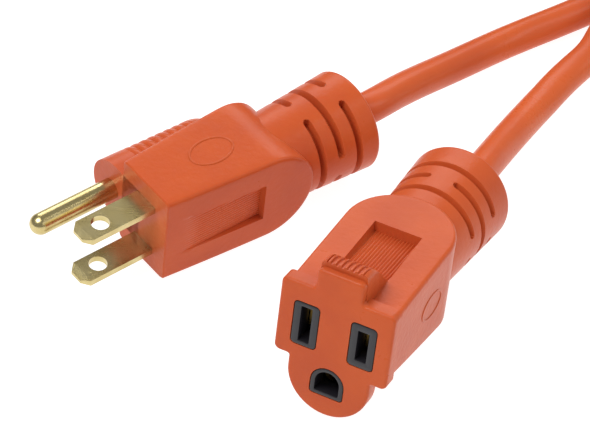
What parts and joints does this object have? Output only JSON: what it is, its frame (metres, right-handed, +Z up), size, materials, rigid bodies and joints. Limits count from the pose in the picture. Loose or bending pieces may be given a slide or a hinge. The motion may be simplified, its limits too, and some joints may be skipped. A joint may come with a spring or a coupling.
{
  "type": "extension cord",
  "caption": "Outdoor grounded extension cord with a moulded three-prong plug, a moulded connector with a thumb tab, and the spare cord tied in a coil.",
  "frame": {"origin": "On the supporting surface, below the middle of the box around the plug and connector without the cord, its coil and its tie.", "axes": "+Z points up from the surface the cord lies on. +Y points away from the viewer, from the two ends towards the stored coil. +X points right."},
  "size_m": [0.1542, 0.3034, 0.048],
  "materials": {
    "overmold": "semi-gloss moulded flexible vinyl",
    "jacket": "satin extruded vinyl",
    "prongs": "bright stamped brass",
    "contacts": "plain stamped brass",
    "premold": "natural rigid plastic",
    "contact_carrier": "semi-gloss black rigid plastic",
    "copper": "bare stranded copper",
    "line_insulation": "satin vinyl",
    "neutral_insulation": "satin vinyl",
    "ground_insulation": "satin vinyl",
    "strap": "woven hook-and-loop strap"
  },
  "bodies": {
    "root": {"plug_overmold": "overmold", "plug_core": "premold", "plug_line_blade": "prongs", "plug_neutral_blade": "prongs", "plug_ground_pin": "prongs", "plug_line_strands": "copper", "plug_neutral_strands": "copper", "plug_ground_strands": "copper", "plug_line_wire": "line_insulation", "plug_neutral_wire": "neutral_insulation", "plug_ground_wire": "ground_insulation", "connector_overmold": "overmold", "connector_core": "contact_carrier", "connector_core_cap": "contact_carrier", "line_contact": "contacts", "neutral_contact": "contacts", "ground_contact": "contacts", "connector_line_strands": "copper", "connector_neutral_strands": "copper", "connector_ground_strands": "copper", "connector_line_wire": "line_insulation", "connector_neutral_wire": "neutral_insulation", "connector_ground_wire": "ground_insulation", "cord_plug_run": "jacket", "cord_connector_run": "jacket", "cord_coil": "jacket", "cord_tie": "strap"}
  },
  "joints": []
}
